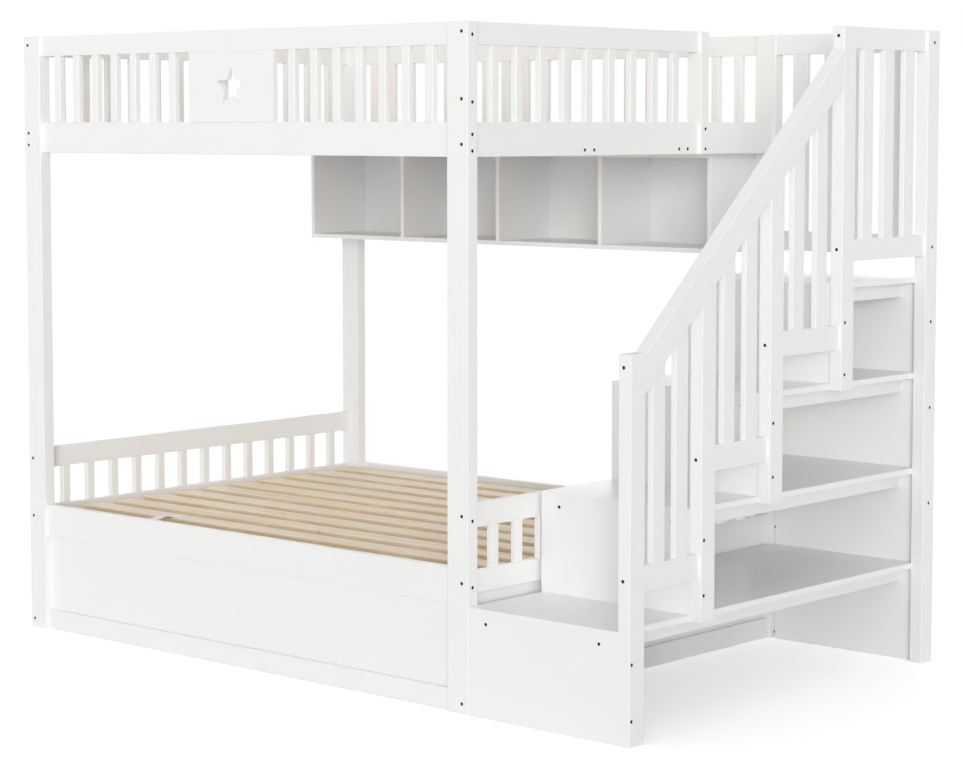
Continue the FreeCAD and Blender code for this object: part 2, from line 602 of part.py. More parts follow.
def make_landing_guards():
    low = TREAD_TOPS[3] + LANDING_RAIL_RISE
    low_top = low + LANDING_RAIL_HEIGHT
    heights = ((low, low_top), (GUARD_RAIL_BOTTOM, BED_HEIGHT))
    middle = STAIR_RAIL_MIDDLE - WIDE_BALUSTER_THICK / 2.0
    start, end = POST_FRONTS[3] + STAIR_POST_WIDTH, REAR_POST_FRONT
    for bottom, top in heights:
        rail = board(STAIR_RAIL_LEFT, STAIR_RAIL_LEFT + RAIL_THICK, start, end, bottom, top)
        add("landing_rails", rail)
    for y in spaced(start, end, WIDE_BALUSTER, LANDING_SIDE_BALUSTERS):
        rear = y + WIDE_BALUSTER
        thick = WIDE_BALUSTER_THICK
        baluster = board(middle, middle + thick, y, rear, low_top, GUARD_RAIL_BOTTOM)
        add("landing_balusters", baluster)

    rear = BED_DEPTH - LANDING_BACK_SETBACK
    front = rear - RAIL_THICK
    for bottom, top in heights:
        add("landing_rails", board(STAIR_LEFT, STAIR_POSTS_X, front, rear, bottom, top))
    y = (front + rear - WIDE_BALUSTER_THICK) / 2.0
    for x in spaced(STAIR_LEFT, STAIR_POSTS_X, WIDE_BALUSTER, LANDING_BACK_BALUSTERS):
        right = x + WIDE_BALUSTER
        thick = WIDE_BALUSTER_THICK
        baluster = board(x, right, y, y + thick, low_top, GUARD_RAIL_BOTTOM)
        add("landing_balusters", baluster)


# ---- Bolts

def lower_side_heights():
    """Heights of the bolts that draw the lower side rail and the bottom rail to a post."""
    return (LOWER_RAIL_BOTTOM + LOWER_SIDE_BOLT, BOTTOM_SIDE_BOLT)


def bolt_end_rails():
    """Bolts in the posts' front and back faces, into the ends of the end rails."""
    guard_middle = (GUARD_RAIL_BOTTOM + BED_HEIGHT) / 2.0 + CROSSING_STEP
    lower_guard_middle = (LOWER_GUARD_BOTTOM + LOWER_GUARD_TOP) / 2.0
    lower_rail_middle = (LOWER_END_RAIL_BOTTOM + LOWER_END_RAIL_TOP) / 2.0
    shared = [lower_guard_middle, lower_rail_middle, BOTTOM_FACE_BOLT]
    left_upper = [UPPER_RAIL_BOTTOM + rise for rise in UPPER_FACE_BOLTS_LEFT]
    right_upper = [UPPER_RAIL_BOTTOM + rise for rise in UPPER_FACE_BOLTS_RIGHT]
    left_x, right_x = LEFT_BOLT_FROM_SIDE, BED_LENGTH - RIGHT_BOLT_FROM_SIDE
    left_depth = LEFT_BOLT_FROM_SIDE - RAIL_SETBACK
    right_depth = INNER_LEFT - RIGHT_BOLT_FROM_SIDE
    for y, into, guarded_right in ((0.0, PLUS_Y, True), (BED_DEPTH, -PLUS_Y, False)):
        for z in [guard_middle] + left_upper + shared:
            bolt(left_x, y, z, into, POST_THICK, nut_side=-PLUS_X, nut_depth=left_depth)
        top = [guard_middle] if guarded_right else []
        for z in top + right_upper + shared:
            bolt(right_x, y, z, into, POST_THICK, nut_side=-PLUS_X, nut_depth=right_depth)


def bolt_side_rails():
    """Bolts in the posts' outer sides, into the ends of the front and back rails.

    The front rails' nuts are put in from behind, and so are the back rails' nuts.
    """
    guard_middle = (GUARD_RAIL_BOTTOM + BED_HEIGHT) / 2.0 - CROSSING_STEP
    left_upper = [UPPER_RAIL_BOTTOM + rise for rise in UPPER_SIDE_BOLTS_LEFT]
    right_upper = [UPPER_RAIL_BOTTOM + rise for rise in UPPER_SIDE_BOLTS_RIGHT]
    lower = list(lower_side_heights())
    depth = INNER_FRONT - SIDE_BOLT_FROM_FACE
    front_guard_depth = FRONT_GUARD_SETBACK + RAIL_THICK - SIDE_BOLT_FROM_FACE
    back_depth = SIDE_BOLT_FROM_FACE - RAIL_SETBACK
    rows = (
        (SIDE_BOLT_FROM_FACE, depth, front_guard_depth),
        (BED_DEPTH - SIDE_BOLT_FROM_FACE, back_depth, back_depth),
    )
    for y, rail_depth, guard_depth in rows:
        for x, into, upper in ((0.0, PLUS_X, left_upper), (BED_LENGTH, -PLUS_X, right_upper)):
            bolt(x, y, guard_middle, into, POST_WIDTH, nut_side=PLUS_Y, nut_depth=guard_depth)
            for z in upper + lower:
                bolt(x, y, z, into, POST_WIDTH, nut_side=PLUS_Y, nut_depth=rail_depth)


def bolt_front_right_post():
    """Three bolts of the front right post that draw up nothing beyond it."""
    pair = UPPER_RAIL_TOP + UPPER_POST_BOLT_RISE
    x, y = BED_LENGTH - RIGHT_BOLT_FROM_SIDE, SIDE_BOLT_FROM_FACE
    bolt(x, 0.0, pair + CROSSING_STEP, PLUS_Y, POST_THICK, reach=-SHORT_REACH)
    bolt(BED_LENGTH, y, pair - CROSSING_STEP, -PLUS_X, POST_WIDTH, reach=-SHORT_REACH)
    low = LOWER_SIDE_RAIL_TOP + LOWER_POST_BOLT_RISE
    bolt(BED_LENGTH, y, low, -PLUS_X, POST_WIDTH, reach=-SHORT_REACH)


def bolt_stile_and_beams():
    y = STILE_BACK - STILE_BOLT_FROM_BACK
    for rise in STILE_BOLTS:
        bolt(BED_LENGTH, y, UPPER_RAIL_BOTTOM + rise, -PLUS_X, RAIL_SETBACK, reach=SHORT_REACH)
    z = upper_ledger_top() - UPPER_LEDGER_SIZE / 2.0
    half = UPPER_BEAM_BOLT_SPACING / 2.0
    depth = UPPER_LEDGER_SIZE / 2.0
    for middle in upper_beam_middles():
        for y in (middle - half, middle + half):
            bolt(RAIL_SETBACK, y, z, PLUS_X, RAIL_THICK, nut_side=-PLUS_Z, nut_depth=depth)
            bolt(RIGHT_RAIL_FACE, y, z, -PLUS_X, RAIL_THICK, nut_side=-PLUS_Z, nut_depth=depth)


def bolt_shelf():
    """Bolts up through the shelf's top board, into the underside of the back rail."""
    y = BED_DEPTH - RAIL_SETBACK - RAIL_THICK / 2.0
    z = UPPER_RAIL_BOTTOM - SHELF_BOARD
    for x in spaced(POST_WIDTH, POSTS_RIGHT, 0.0, SHELF_BOLTS):
        bolt(x, y, z, PLUS_Z, SHELF_BOARD)


def bolt_risers_and_panel():
    """Bolts in the stair posts' outer sides, into the edges of the risers and the back panel."""
    depth = SHEET_THICK / 2.0
    x, into, grip = TOTAL_LENGTH, -PLUS_X, STAIR_POST_THICK
    for step in range(STEPS):
        y = RISER_FRONTS[step] + SHEET_THICK / 2.0
        floor = 0.0 if step == 0 else TREAD_TOPS[step - 1]
        lower = floor + RISER_BOLTS[step]
        for z in (lower, lower + RISER_BOLT_SPACING):
            bolt(x, y, z, into, grip, nut_side=PLUS_Y, nut_depth=depth)
    y = (BACK_PANEL_FRONT + BACK_PANEL_REAR) / 2.0
    for z in BACK_PANEL_BOLTS:
        bolt(x, y, z, into, grip, nut_side=PLUS_Y, nut_depth=depth)


def bolt_bearers():
    """Bolts through the risers and the back panel, into both ends of the tread bearers."""
    depth = SHEET_THICK / 2.0
    for step in range(STEPS):
        z = TREAD_TOPS[step] - SHEET_THICK - BEARER_HEIGHT / 2.0
        for inset in (BEARER_INSET_LEFT, BEARER_INSET_RIGHT):
            x = STAIR_LEFT + inset
            bolt(x, RISER_FRONTS[step], z, PLUS_Y, SHEET_THICK, nut_side=-PLUS_X, nut_depth=depth)
            bolt(x, BACK_PANEL_REAR, z, -PLUS_Y, SHEET_THICK, nut_side=-PLUS_X, nut_depth=depth)


def bolt_stair_frames():
    """Bolts through the stair posts, into the ends of the handrail and the rails between them."""
    grip = STAIR_POST_WIDTH
    newel_x = STAIR_POSTS_X + NEWEL_BOLT_INSET
    middle_x = STAIR_RAIL_MIDDLE
    newel_depth = newel_x - STAIR_RAIL_LEFT
    middle_depth = middle_x - STAIR_RAIL_LEFT
    z = NEWEL_HEIGHT - HANDRAIL_BOLT_DROP
    bolt(newel_x, 0.0, z, PLUS_Y, grip, nut_side=-PLUS_X, nut_depth=NEWEL_BOLT_INSET)
    head_z = HANDRAIL_HEAD_TOP - HANDRAIL_DEPTH / 2.0
    head_y = HANDRAIL_HEAD_Y + STAIR_POST_WIDTH
    half = STAIR_POST_THICK / 2.0
    bolt(middle_x, head_y, head_z, -PLUS_Y, grip, nut_side=-PLUS_X, nut_depth=half)
    for step in range(3):
        z = TREAD_TOPS[step] + FRAME_RAIL_RISE + FRAME_RAIL_HEIGHT / 2.0
        x, depth = (newel_x, newel_depth) if step == 0 else (middle_x, middle_depth)
        bolt(x, POST_FRONTS[step], z, PLUS_Y, grip, nut_side=-PLUS_X, nut_depth=depth)
        rear_face = POST_FRONTS[step + 1] + STAIR_POST_WIDTH
        bolt(middle_x, rear_face, z, -PLUS_Y, grip, nut_side=-PLUS_X, nut_depth=middle_depth)
    bolt_landing_guards(middle_x, middle_depth)


def bolt_landing_guards(middle_x, middle_depth):
    low = TREAD_TOPS[3] + LANDING_RAIL_RISE + LANDING_RAIL_HEIGHT / 2.0
    high = (GUARD_RAIL_BOTTOM + BED_HEIGHT) / 2.0
    back_y = BED_DEPTH - LANDING_BACK_SETBACK - RAIL_THICK / 2.0
    for z in (low, high):
        side_z, back_z = z + CROSSING_STEP, z - CROSSING_STEP
        for y, into in ((POST_FRONTS[3], PLUS_Y), (BED_DEPTH, -PLUS_Y)):
            bolt(middle_x, y, side_z, into, STAIR_POST_WIDTH, nut_side=-PLUS_X, nut_depth=middle_depth)
        depth = RAIL_THICK / 2.0
        bolt(TOTAL_LENGTH, back_y, back_z, -PLUS_X, STAIR_POST_THICK, nut_side=PLUS_Y, nut_depth=depth)


# ---- Putting it together

def drilled(solid):
    """The solid with every hole that reaches into it."""
    holes = [hole for hole in drillings if hole.BoundBox.intersect(solid.BoundBox)]
    return solid.cut(holes).Solids if holes else [solid]


def export(name, solids):
    shift = FreeCAD.Vector(-TOTAL_LENGTH / 2.0, -BED_DEPTH / 2.0, 0)
    shape = solids[0] if len(solids) == 1 else Part.makeCompound(solids)
    moved = shape.copy()
    moved.translate(shift)
    moved.exportStep("parts/%s.step" % name)


def main():
    for make in (
        make_bed_posts, make_rails, make_base_panels, make_guards, make_entrance_stile,
        make_upper_bed, make_lower_bed, make_shelf,
        make_treads_and_risers, make_stair_posts, make_handrail, make_stair_frames, make_landing_guards,
        bolt_end_rails, bolt_side_rails, bolt_front_right_post, bolt_stile_and_beams, bolt_shelf,
        bolt_risers_and_panel, bolt_bearers, bolt_stair_frames,
    ):
        make()
    os.makedirs("parts", exist_ok=True)
    for name, solids in nodes.items():
        export(name, [piece for solid in solids for piece in drilled(solid)])
    export("bolts", bolts)
    export("barrel_nuts", nuts)
    print(len(nodes) + 2, "nodes,", len(bolts), "bolts,", len(nuts), "barrel nuts")


main()
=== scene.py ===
import math

import bpy
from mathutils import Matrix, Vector


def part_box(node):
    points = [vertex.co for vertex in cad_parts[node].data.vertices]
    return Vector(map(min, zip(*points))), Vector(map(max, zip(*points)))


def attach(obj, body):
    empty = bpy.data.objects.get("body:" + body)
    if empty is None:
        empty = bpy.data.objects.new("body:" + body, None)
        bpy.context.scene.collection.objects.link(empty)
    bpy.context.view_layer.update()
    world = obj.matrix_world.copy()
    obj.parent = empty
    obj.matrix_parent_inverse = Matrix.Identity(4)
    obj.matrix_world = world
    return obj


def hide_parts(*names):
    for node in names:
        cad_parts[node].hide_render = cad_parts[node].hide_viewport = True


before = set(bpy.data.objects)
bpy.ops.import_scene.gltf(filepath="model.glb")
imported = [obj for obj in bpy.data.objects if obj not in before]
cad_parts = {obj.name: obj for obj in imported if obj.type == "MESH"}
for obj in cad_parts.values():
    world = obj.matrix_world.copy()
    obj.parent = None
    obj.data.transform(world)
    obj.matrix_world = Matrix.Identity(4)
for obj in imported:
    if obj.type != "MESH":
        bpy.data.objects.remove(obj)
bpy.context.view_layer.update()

# Bunk bed with storage stairs: white-lacquered pine frame, lacquered board panels,
# bare pine slats, woven tape and black-zinc socket bolts. Metres, in the frame's axes:
# X along the front towards the stairs, Y to the back, Z up.

MM = 0.001

# ---- Camera, fitted to the corners of the posts in the photograph
CAMERA_AT = (5.5300, -6.1398, 1.6860)
CAMERA_TURN = 41.668             # degrees to the left of straight on
CAMERA_TILT = -4.334             # degrees above level
CAMERA_LENS = 95.421             # millimetres
CAMERA_SENSOR = 36.0             # millimetres wide
CAMERA_SHIFT = -0.07
CAMERA_REACH = 200.0             # how far it sees

# ---- Light
AMBIENT = 0.38                   # the studio's even light; 1 is white
AMBIENT_COLOUR = "#fdfdff"
# each soft lamp: strength, colour, the side that it shines from, and its spread in degrees
LAMPS = {
    "soft_key": (1.54, "#fefefd", (1.10, -1.24, 0.12), 20.0),     # beside the camera, and low
    "soft_left": (0.15, "#fefefd", (-0.50, -1.00, 0.08), 20.0),   # low, under the upper bed
    "soft_high": (0.58, "#fefefe", (1.10, -1.24, 0.80), 40.0),    # above the camera
    "soft_top": (0.36, "#ffffff", (0.00, 0.00, 1.00), 60.0),      # overhead, for the treads
    "soft_back": (0.92, "#ffffff", (-1.00, 1.20, 0.40), 60.0),    # for the sides behind
}
WHITE = "#ffffff"
FLOOR_WHITE = "#f6f6f6"
FLOOR_SIZE = 60.0
FLOOR_DROP = 0.5 * MM
FLOOR_GLOW = 0.42                # lifts the floor to white in the camera's view only

# ---- Real sizes in the finishes
PINE_GRAIN = 6.0 * MM            # early and late wood under the lacquer
GRAIN_STRETCH = 0.04             # scale of that grain along the wood, where it is 1 across it
PINE_PEEL = 1.5 * MM             # orange peel: a little coarser than real, to show close up
PINE_FILM = 250.0 * MM           # uneven build of the lacquer's film
BOARD_PEEL = 1.8 * MM
BOARD_FILM = 300.0 * MM
RING_SPACING = 7.0 * MM          # growth rings on a slat's face
PORE_SIZE = 1.2 * MM
PATCH_SIZE = 28.0 * MM           # warmer patches in the bare pine
KNOT_SPACING = 110.0 * MM
SLAT_STRETCH = 0.05              # scale of the bare pine's pattern along a slat
PLATING_MOTTLE = 2.0 * MM

# ---- Slats
# each bed's slats: the node, their number and width, whether they lie along Y, and the seed
SLATS = {
    "pine_slats_lower": ("lower_slats", 11, 82.0 * MM, False, 3),
    "pine_slats_upper": ("upper_slats", 14, 80.0 * MM, True, 5),
}
SLAT_EASING = 3.2 * MM
SLAT_EASING_PARTS = 4
SLAT_DRIFT = 1.2 * MM            # how far a slat lies off its place, lengthwise
TONE_RANGE = 0.55                # how far the tone of a slat may go to the pinker one
TONE_SEED = 7
LOG_SIZE = (9.0, 3.0, 3.0)       # each slat's pattern starts somewhere in a log of this size
LOG_SEED = 11
WELD = 0.01 * MM

# ---- Woven tape
TAPE_WIDTH = 38.0 * MM
TAPE_THICK = 1.5 * MM
TAPE_EDGE = 0.45                 # rounding of its edges, as a share of the thickness
TAPE_PICK = 2.4 * MM             # spacing of the ribs across the tape
TAPE_WARP = 1.6 * TAPE_PICK      # and of the threads along it
TAPE_BEND = 4.0 * MM             # where it turns up round the first slat
TAPE_END = 190.0 * MM            # its loose end, from the first slat's front edge
# the hump in the loose end: distance behind that edge, and height above the slats' tops
TAPE_HUMP = ((60, 0), (84, 3), (104, 9), (122, 7), (140, 1), (152, 0))
TAPE_HOLE = 6.0 * MM             # punched in the loose end, half a width from its tip
HOLE_SIDES = 24
PUNCH_DEPTH = 20.0 * MM


# ---- Small tools

def linear(code):
    """An sRGB hex value as the linear colour that a shader takes."""
    shares = [int(code[place:place + 2], 16) / 255.0 for place in (1, 3, 5)]
    bent = [s / 12.92 if s <= 0.04045 else ((s + 0.055) / 1.055) ** 2.4 for s in shares]
    return (*bent, 1.0)


def wave_scale(spacing):
    """A wave texture's scale for bands this far apart: it turns 20 radians a unit."""
    return 2 * math.pi / (20 * spacing)


def add_node(tree, kind, inputs=None, **settings):
    """Adds one node, with its settings, and its inputs as values or as links."""
    made = tree.nodes.new(kind)
    for name, value in settings.items():
        setattr(made, name, value)
    for key, value in (inputs or {}).items():
        if isinstance(value, bpy.types.NodeSocket):
            tree.links.new(value, made.inputs[key])
        else:
            made.inputs[key].default_value = value
    return made


def new_material(name):
    """An empty material, and its tree."""
    material = bpy.data.materials.new(name)
    material.use_nodes = True
    material.node_tree.nodes.clear()
    return material, material.node_tree


def finish_material(tree, inputs):
    """Ends a material in its shader, with these inputs."""
    shader = add_node(tree, "ShaderNodeBsdfPrincipled", inputs)
    add_node(tree, "ShaderNodeOutputMaterial", {"Surface": shader.outputs["BSDF"]})


def link_object(name, data):
    """An object in the scene, at the origin."""
    made = bpy.data.objects.new(name, data)
    bpy.context.scene.collection.objects.link(made)
    return made


# ---- Materials

ALONG = {
    "x": (GRAIN_STRETCH, 1.0, 1.0),
    "y": (1.0, GRAIN_STRETCH, 1.0),
    "z": (1.0, 1.0, GRAIN_STRETCH),
}


def satin_lacquer_on_pine(name, along):
    """Sprayed white satin lacquer over sanded pine: an even white, whose skin still
    follows the grain a little and has a fine orange peel."""
    material, tree = new_material(name)
    place = add_node(tree, "ShaderNodeTexCoord").outputs["Object"]
    grain_place = add_node(tree, "ShaderNodeMapping", {"Vector": place, "Scale": ALONG[along]})
    grain = add_node(tree, "ShaderNodeTexNoise", {
        "Vector": grain_place.outputs["Vector"], "Scale": 1 / PINE_GRAIN, "Detail": 3.0,
        "Roughness": 0.55})
    peel = add_node(tree, "ShaderNodeTexNoise", {
        "Vector": place, "Scale": 1 / PINE_PEEL, "Detail": 1.0})
    film = add_node(tree, "ShaderNodeTexNoise", {
        "Vector": place, "Scale": 1 / PINE_FILM, "Detail": 2.0})
    tone = add_node(tree, "ShaderNodeMath", {
        0: grain.outputs["Fac"], 1: film.outputs["Fac"]}, operation="ADD")
    share = add_node(tree, "ShaderNodeMapRange", {
        "Value": tone.outputs[0], "From Min": 0.7, "From Max": 1.3, "To Min": 0.0, "To Max": 1.0})
    colour = add_node(tree, "ShaderNodeMix", {
        "Factor": share.outputs["Result"], "A": linear("#f1f1f0"), "B": linear("#f3f3f2")},
        data_type="RGBA")
    sheen = add_node(tree, "ShaderNodeMapRange", {
        "Value": film.outputs["Fac"], "From Min": 0.3, "From Max": 0.7,
        "To Min": 0.38, "To Max": 0.46})
    grain_bump = add_node(tree, "ShaderNodeBump", {
        "Height": grain.outputs["Fac"], "Strength": 0.07, "Distance": 0.25 * MM})
    bump = add_node(tree, "ShaderNodeBump", {
        "Height": peel.outputs["Fac"], "Strength": 0.12, "Distance": 0.1 * MM,
        "Normal": grain_bump.outputs["Normal"]})
    finish_material(tree, {
        "Base Color": colour.outputs["Result"], "Roughness": sheen.outputs["Result"],
        "Normal": bump.outputs["Normal"], "IOR": 1.5})
    return material


def satin_lacquer_on_board(name):
    """The same lacquer on fibreboard: no grain, only the roller-smooth film."""
    material, tree = new_material(name)
    place = add_node(tree, "ShaderNodeTexCoord").outputs["Object"]
    peel = add_node(tree, "ShaderNodeTexNoise", {
        "Vector": place, "Scale": 1 / BOARD_PEEL, "Detail": 1.0})
    film = add_node(tree, "ShaderNodeTexNoise", {
        "Vector": place, "Scale": 1 / BOARD_FILM, "Detail": 2.0})
    colour = add_node(tree, "ShaderNodeMix", {
        "Factor": film.outputs["Fac"], "A": linear("#f1f1f1"), "B": linear("#f4f4f4")},
        data_type="RGBA")
    sheen = add_node(tree, "ShaderNodeMapRange", {
        "Value": film.outputs["Fac"], "From Min": 0.3, "From Max": 0.7,
        "To Min": 0.34, "To Max": 0.42})
    bump = add_node(tree, "ShaderNodeBump", {
        "Height": peel.outputs["Fac"], "Strength": 0.10, "Distance": 0.1 * MM})
    finish_material(tree, {
        "Base Color": colour.outputs["Result"], "Roughness": sheen.outputs["Result"],
        "Normal": bump.outputs["Normal"], "IOR": 1.5})
    return material


def planed_bare_pine(name):
    """Planed pine without a finish: pale early wood, thin tan late-wood lines along the
    slat, warmer patches, a few small knots, and a dry, nearly matt surface."""
    material, tree = new_material(name)
    place = add_node(tree, "ShaderNodeAttribute", attribute_name="wood_place").outputs["Vector"]
    tone = add_node(tree, "ShaderNodeAttribute", attribute_name="wood_tone").outputs["Fac"]
    stretched = add_node(tree, "ShaderNodeMapping", {
        "Vector": place, "Scale": (SLAT_STRETCH, 1.0, 1.0)})
    # growth rings, bent as they are in a plain-sawn board
    rings = add_node(tree, "ShaderNodeTexWave", {
        "Vector": stretched.outputs["Vector"], "Scale": wave_scale(RING_SPACING),
        "Distortion": 5.0, "Detail": 2.0, "Detail Scale": 0.6},
        wave_type="BANDS", bands_direction="Y", wave_profile="SAW")
    pores = add_node(tree, "ShaderNodeTexNoise", {
        "Vector": stretched.outputs["Vector"], "Scale": 1 / PORE_SIZE, "Detail": 3.0})
    patches = add_node(tree, "ShaderNodeTexNoise", {
        "Vector": stretched.outputs["Vector"], "Scale": 1 / PATCH_SIZE, "Detail": 3.0})
    ring_share = add_node(tree, "ShaderNodeMapRange", {
        "Value": rings.outputs["Fac"], "From Min": 0.35, "From Max": 1.0,
        "To Min": 0.0, "To Max": 0.9})
    wood = add_node(tree, "ShaderNodeMix", {
        "Factor": ring_share.outputs["Result"], "A": linear("#fff9f0"), "B": linear("#edd3ac")},
        data_type="RGBA")
    streaked = add_node(tree, "ShaderNodeMix", {
        "Factor": pores.outputs["Fac"], "A": wood.outputs["Result"], "B": linear("#f9ead4")},
        data_type="RGBA")
    patch_share = add_node(tree, "ShaderNodeMapRange", {
        "Value": patches.outputs["Fac"], "From Min": 0.46, "From Max": 0.64,
        "To Min": 0.0, "To Max": 0.9})
    warmer = add_node(tree, "ShaderNodeMix", {
        "Factor": patch_share.outputs["Result"], "A": streaked.outputs["Result"],
        "B": linear("#f3d9b2")}, data_type="RGBA")
    toned = add_node(tree, "ShaderNodeMix", {
        "Factor": tone, "A": warmer.outputs["Result"], "B": linear("#fae6d6")}, data_type="RGBA")
    # painted shade: the sides, away from the top and bottom faces, are mixed toward a darker and
    # more golden tan that stands in for the shade on them
    facing = add_node(tree, "ShaderNodeSeparateXYZ", {
        "Vector": add_node(tree, "ShaderNodeNewGeometry").outputs["Normal"]})
    flat = add_node(tree, "ShaderNodeMath", {0: facing.outputs["Z"]}, operation="ABSOLUTE")
    side_shade_share = add_node(tree, "ShaderNodeMapRange", {
        "Value": flat.outputs[0], "From Min": 0.3, "From Max": 0.9, "To Min": 0.7, "To Max": 0.0})
    side_shaded = add_node(tree, "ShaderNodeMix", {
        "Factor": side_shade_share.outputs["Result"], "A": toned.outputs["Result"],
        "B": linear("#e9d6ae")}, data_type="RGBA")
    # small pin knots, a few on each slat
    knot_place = add_node(tree, "ShaderNodeMapping", {"Vector": place, "Scale": (0.35, 1.0, 0.2)})
    knots = add_node(tree, "ShaderNodeTexVoronoi", {
        "Vector": knot_place.outputs["Vector"], "Scale": 1 / KNOT_SPACING, "Randomness": 1.0})
    knot_share = add_node(tree, "ShaderNodeMapRange", {
        "Value": knots.outputs["Distance"], "From Min": 0.02, "From Max": 0.05,
        "To Min": 0.45, "To Max": 0.0})
    colour = add_node(tree, "ShaderNodeMix", {
        "Factor": knot_share.outputs["Result"], "A": side_shaded.outputs["Result"],
        "B": linear("#b98a58")}, data_type="RGBA")
    rough = add_node(tree, "ShaderNodeMapRange", {
        "Value": pores.outputs["Fac"], "From Min": 0.3, "From Max": 0.7,
        "To Min": 0.62, "To Max": 0.74})
    bump = add_node(tree, "ShaderNodeBump", {
        "Height": pores.outputs["Fac"], "Strength": 0.25, "Distance": 0.15 * MM})
    finish_material(tree, {
        "Base Color": colour.outputs["Result"], "Roughness": rough.outputs["Result"],
        "Normal": bump.outputs["Normal"], "IOR": 1.5})
    return material


def woven_polypropylene(name):
    """White woven polypropylene tape: round ribs across it, a slight gloss on each."""
    material, tree = new_material(name)
    place = add_node(tree, "ShaderNodeAttribute", attribute_name="weave_place").outputs["Vector"]
    ribs = add_node(tree, "ShaderNodeTexWave", {
        "Vector": place, "Scale": wave_scale(TAPE_PICK), "Distortion": 0.0},
        wave_type="BANDS", bands_direction="X", wave_profile="SIN")
    warp = add_node(tree, "ShaderNodeTexWave", {
        "Vector": place, "Scale": wave_scale(TAPE_WARP), "Distortion": 0.0},
        wave_type="BANDS", bands_direction="Y", wave_profile="SIN")
    weave = add_node(tree, "ShaderNodeMath", {
        0: ribs.outputs["Fac"], 1: warp.outputs["Fac"]}, operation="MULTIPLY")
    # painted shade: the weave is a little darker where it is low, between the ribs and threads,
    # and lighter on their tops
    colour = add_node(tree, "ShaderNodeMix", {
        "Factor": weave.outputs[0], "A": linear("#efefed"), "B": linear("#fafaf8")},
        data_type="RGBA")
    bump = add_node(tree, "ShaderNodeBump", {
        "Height": weave.outputs[0], "Strength": 0.35, "Distance": 0.3 * MM})
    finish_material(tree, {
        "Base Color": colour.outputs["Result"], "Roughness": 0.5,
        "Normal": bump.outputs["Normal"], "IOR": 1.49})
    return material


def black_zinc_steel(name):
    """Steel plated with black zinc: nearly black, half gloss, a little uneven in the plating."""
    material, tree = new_material(name)
    place = add_node(tree, "ShaderNodeTexCoord").outputs["Object"]
    mottle = add_node(tree, "ShaderNodeTexNoise", {
        "Vector": place, "Scale": 1 / PLATING_MOTTLE, "Detail": 3.0})
    colour = add_node(tree, "ShaderNodeMix", {
        "Factor": mottle.outputs["Fac"], "A": linear("#2a2b2d"), "B": linear("#404244")},
        data_type="RGBA")
    rough = add_node(tree, "ShaderNodeMapRange", {
        "Value": mottle.outputs["Fac"], "From Min": 0.3, "From Max": 0.7,
        "To Min": 0.32, "To Max": 0.45})
    finish_material(tree, {
        "Base Color": colour.outputs["Result"], "Roughness": rough.outputs["Result"],
        "Metallic": 1.0})
    return material


LACQUER = {axis: satin_lacquer_on_pine("satin_lacquer_on_pine_" + axis, axis) for axis in ALONG}
BOARD_LACQUER = satin_lacquer_on_board("satin_lacquer_on_board")
BARE_PINE = planed_bare_pine("planed_bare_pine")
WEBBING = woven_polypropylene("woven_polypropylene")
BLACK_ZINC = black_zinc_steel("black_zinc_steel")

# the way that the wood runs in each piece; the rest stand upright
RUNS_ALONG_X = (
    "upper_rail_front", "upper_rail_back", "guard_top_rail_front", "guard_top_rail_back",
    "lower_rail_front", "lower_rail_back", "bottom_rails_sides", "upper_ledgers", "lower_ledgers",
    "upper_beams",
)
RUNS_ALONG_Y = (
    "upper_rail_left", "upper_rail_right", "guard_top_rails_ends", "lower_rail_left",
    "lower_rail_right", "bottom_rails_ends", "lower_guard_rails", "cross_bearers",
    "tread_bearers", "stair_frame_rails", "stair_handrail", "landing_rails",
)
BOARDS = (
    "shelf_", "stair_tread_", "stair_riser_", "stair_back_panel", "base_panels_", "star_panel",
)
STEEL = ("bolts", "barrel_nuts")
MADE_HERE = ("lower_slats", "upper_slats", "webbing_tapes")


def finish_of(node):
    """The material that a node of the frame gets."""
    if node in STEEL:
        return BLACK_ZINC
    if node.startswith(BOARDS):
        return BOARD_LACQUER
    if node in RUNS_ALONG_X:
        return LACQUER["x"]
    return LACQUER["y"] if node in RUNS_ALONG_Y else LACQUER["z"]


for name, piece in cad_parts.items():
    if name not in MADE_HERE:
        piece.data.materials.clear()
        piece.data.materials.append(finish_of(name))


# ---- Pieces made by rule

def new_tree(name, sizes):
    """A geometry tree with one named input for each size."""
    tree = bpy.data.node_groups.new(name, "GeometryNodeTree")
    tree.interface.new_socket("Geometry", in_out="INPUT", socket_type="NodeSocketGeometry")
    for size, kind in sizes.items():
        tree.interface.new_socket(size, in_out="INPUT", socket_type="NodeSocket" + kind)
    tree.interface.new_socket("Geometry", in_out="OUTPUT", socket_type="NodeSocketGeometry")
    given = add_node(tree, "NodeGroupInput")
    return tree, given.outputs


def end_tree(tree, geometry, material):
    """Ends a geometry tree as one real mesh with its material."""
    real = add_node(tree, "GeometryNodeRealizeInstances", {"Geometry": geometry})
    painted = add_node(tree, "GeometryNodeSetMaterial", {
        "Geometry": real.outputs["Geometry"], "Material": material})
    add_node(tree, "NodeGroupOutput", {"Geometry": painted.outputs["Geometry"]})


def settled_mesh(made):
    """A plain mesh of an object as its modifiers leave it."""
    settled = bpy.context.evaluated_depsgraph_get()
    return bpy.data.meshes.new_from_object(made.evaluated_get(settled), depsgraph=settled)


def grow(name, tree, sizes, start=None):
    """Runs a tree with these sizes, and keeps its result as one plain mesh piece."""
    seed = link_object(name + "_seed", start or bpy.data.meshes.new(name + "_start"))
    modifier = seed.modifiers.new("rule", "NODES")
    modifier.node_group = tree
    for item in tree.interface.items_tree:
        if item.in_out == "INPUT" and item.name in sizes:
            modifier[item.identifier] = sizes[item.name]
    grown = settled_mesh(seed)
    grown.name = name
    bpy.data.objects.remove(seed)
    return link_object(name, grown)


